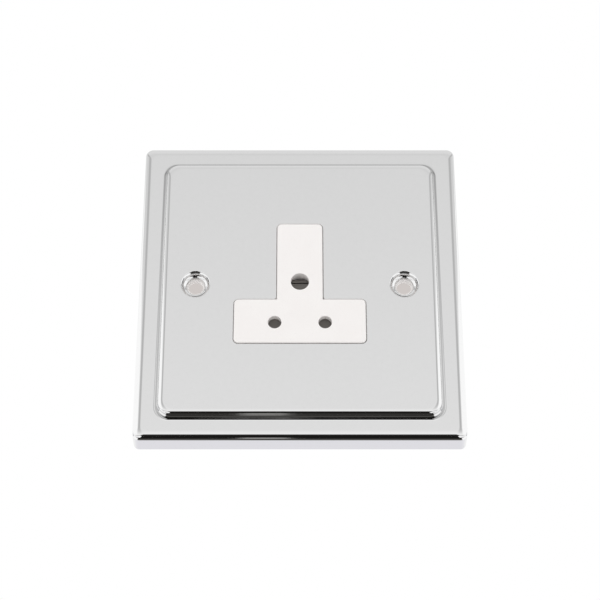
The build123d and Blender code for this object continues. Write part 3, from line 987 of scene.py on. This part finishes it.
def light_slot(tree, turn, across):
    """A thin light slot in the dark opening: 1 in the slot, 0 beside it."""
    from_middle = add_node(tree, "ShaderNodeMath", {0: turn, 1: SLOT_ANGLE}, operation="SUBTRACT")
    off_middle = add_node(tree, "ShaderNodeMath", {0: from_middle.outputs[0]}, operation="ABSOLUTE")
    along = add_node(
        tree,
        "ShaderNodeMapRange",
        {"Value": off_middle.outputs[0], "From Min": SLOT_LENGTH[0], "From Max": SLOT_LENGTH[1]},
        interpolation_type="SMOOTHSTEP",
    )
    from_line = add_node(tree, "ShaderNodeMath", {0: across, 1: SLOT_ASIDE}, operation="ADD")
    off_line = add_node(tree, "ShaderNodeMath", {0: from_line.outputs[0]}, operation="ABSOLUTE")
    wide = add_node(
        tree,
        "ShaderNodeMapRange",
        {"Value": off_line.outputs[0], "From Min": SLOT_WIDTH[0], "From Max": SLOT_WIDTH[1]},
        interpolation_type="SMOOTHSTEP",
    )
    slot = add_node(
        tree, "ShaderNodeMath", {0: along.outputs[0], 1: wide.outputs[0]}, operation="MULTIPLY"
    )
    return slot.outputs[0]


def plain_backdrop(tree, direction):
    """What the camera itself sees: plain white, and straight behind the object, the object's own shade."""
    ahead = add_node(
        tree,
        "ShaderNodeVectorMath",
        {0: direction, 1: tuple(VIEW_DIRECTION)},
        operation="DOT_PRODUCT",
    )
    behind = add_node(
        tree,
        "ShaderNodeMapRange",
        {"Value": ahead.outputs["Value"], "From Min": BACKDROP_CONE[0], "From Max": BACKDROP_CONE[1]},
        interpolation_type="SMOOTHSTEP",
    )
    plain = add_node(
        tree,
        "ShaderNodeMix",
        {"Factor": behind.outputs[0], "A": (1, 1, 1, 1), "B": linear(BACKDROP_TONE)},
        data_type="RGBA",
    )
    return add_node(tree, "ShaderNodeBackground", {"Color": plain.outputs["Result"], "Strength": 1.0})


def studio_world():
    """A light tent round the object, as its mirror-bright chrome sees it, and plain white behind it."""
    world = bpy.data.worlds.new("studio")
    bpy.context.scene.world = world
    world.use_nodes = True
    tree = world.node_tree
    tree.nodes.clear()
    direction = add_node(tree, "ShaderNodeTexCoord").outputs["Generated"]
    ray = add_node(tree, "ShaderNodeSeparateXYZ", {0: direction})
    across, rise = ray.outputs["X"], ray.outputs["Z"]
    down = add_node(tree, "ShaderNodeMath", {0: rise, 1: -1.0}, operation="MULTIPLY").outputs[0]
    out = add_node(
        tree, "ShaderNodeMath", {0: ray.outputs["Y"], 1: -1.0}, operation="MULTIPLY"
    ).outputs[0]
    aside = add_node(tree, "ShaderNodeMath", {0: across}, operation="ABSOLUTE").outputs[0]
    # Angle round the X axis: 0 looks from the wall straight into the room, 90 degrees at the floor
    turn = add_node(tree, "ShaderNodeMath", {0: down, 1: out}, operation="ARCTAN2").outputs[0]
    tent = roof_and_sides(tree, turn, rise, out, aside)
    flapped = add_node(
        tree,
        "ShaderNodeMix",
        {"Factor": side_flaps(tree, turn, aside), "A": tent, "B": linear(FLAP_TONE)},
        data_type="RGBA",
    )
    slotted = add_node(
        tree,
        "ShaderNodeMix",
        {
            "Factor": light_slot(tree, turn, across),
            "A": flapped.outputs["Result"],
            "B": linear(SLOT_TONE),
        },
        data_type="RGBA",
    )
    light = add_node(
        tree, "ShaderNodeBackground", {"Color": slotted.outputs["Result"], "Strength": TENT_STRENGTH}
    )
    white = plain_backdrop(tree, direction)
    seen = add_node(tree, "ShaderNodeLightPath")
    both = add_node(
        tree,
        "ShaderNodeMixShader",
        {0: seen.outputs["Is Camera Ray"], 1: light.outputs[0], 2: white.outputs[0]},
    )
    add_node(tree, "ShaderNodeOutputWorld", {"Surface": both.outputs[0]})


def key_softbox():
    """A square area lamp above and to the left, which points at the middle of the object."""
    place = Vector((-0.35, -0.55, 0.75))
    lamp = bpy.data.lights.new("key softbox", "AREA")
    lamp.shape = "SQUARE"
    lamp.size = 0.5
    lamp.energy = 1.7
    holder = bpy.data.objects.new("key softbox", lamp)
    holder.location = place
    holder.rotation_euler = (-place).to_track_quat("-Z", "Y").to_euler()
    # The chrome mirrors the tent, in which the lamp is hidden
    holder.visible_glossy = False
    bpy.context.scene.collection.objects.link(holder)


def pale_floor():
    """A plain floor well below the object, so that the camera's low viewpoint stays above it."""
    mesh = bpy.data.meshes.new("floor")
    half = 3.0
    drop = -0.32
    corners = [(-half, -half, drop), (half, -half, drop), (half, half, drop), (-half, half, drop)]
    mesh.from_pydata(corners, [], [(0, 1, 2, 3)])
    floor = bpy.data.objects.new("floor", mesh)
    bpy.context.scene.collection.objects.link(floor)
    material, tree, coords = new_material("matt white paper")
    tooth = add_node(
        tree, "ShaderNodeTexNoise", {"Vector": coords.outputs["Object"], "Scale": per_mm(3), "Detail": 3}
    )
    paper = add_node(
        tree,
        "ShaderNodeMix",
        {"Factor": tooth.outputs["Fac"], "A": linear("#f4f4f4"), "B": linear("#efefef")},
        data_type="RGBA",
    )
    shader = add_node(
        tree, "ShaderNodeBsdfPrincipled", {"Base Color": paper.outputs["Result"], "Roughness": 0.9}
    )
    add_node(tree, "ShaderNodeOutputMaterial", {"Surface": shader.outputs[0]})
    mesh.materials.append(material)
    # The chrome mirrors the studio itself and not this paper, which lies only under the object
    floor.visible_glossy = False


def photo_camera():
    """The camera where the photograph was taken: in front of the plate and 25 degrees below it."""
    aim = Vector((0.034, -10.0, -5.048)) * MM
    distance = 426.8 * MM
    data = bpy.data.cameras.new("camera")
    data.lens = 89.2
    data.sensor_width = 36
    data.clip_start = 0.01
    data.clip_end = 20
    camera = bpy.data.objects.new("camera", data)
    camera.location = aim - VIEW_DIRECTION * distance
    camera.rotation_euler = VIEW_DIRECTION.to_track_quat("-Z", "Y").to_euler()
    bpy.context.scene.collection.objects.link(camera)
    bpy.context.scene.camera = camera


pressed_plate()
sliding_shutter()
pin_guide()
return_spring()
for stud_name, stud_z in STUDS.items():
    threaded_stud(stud_name, stud_z)
studio_world()
pale_floor()
photo_camera()
key_softbox()

bpy.context.scene.view_settings.view_transform = "Standard"
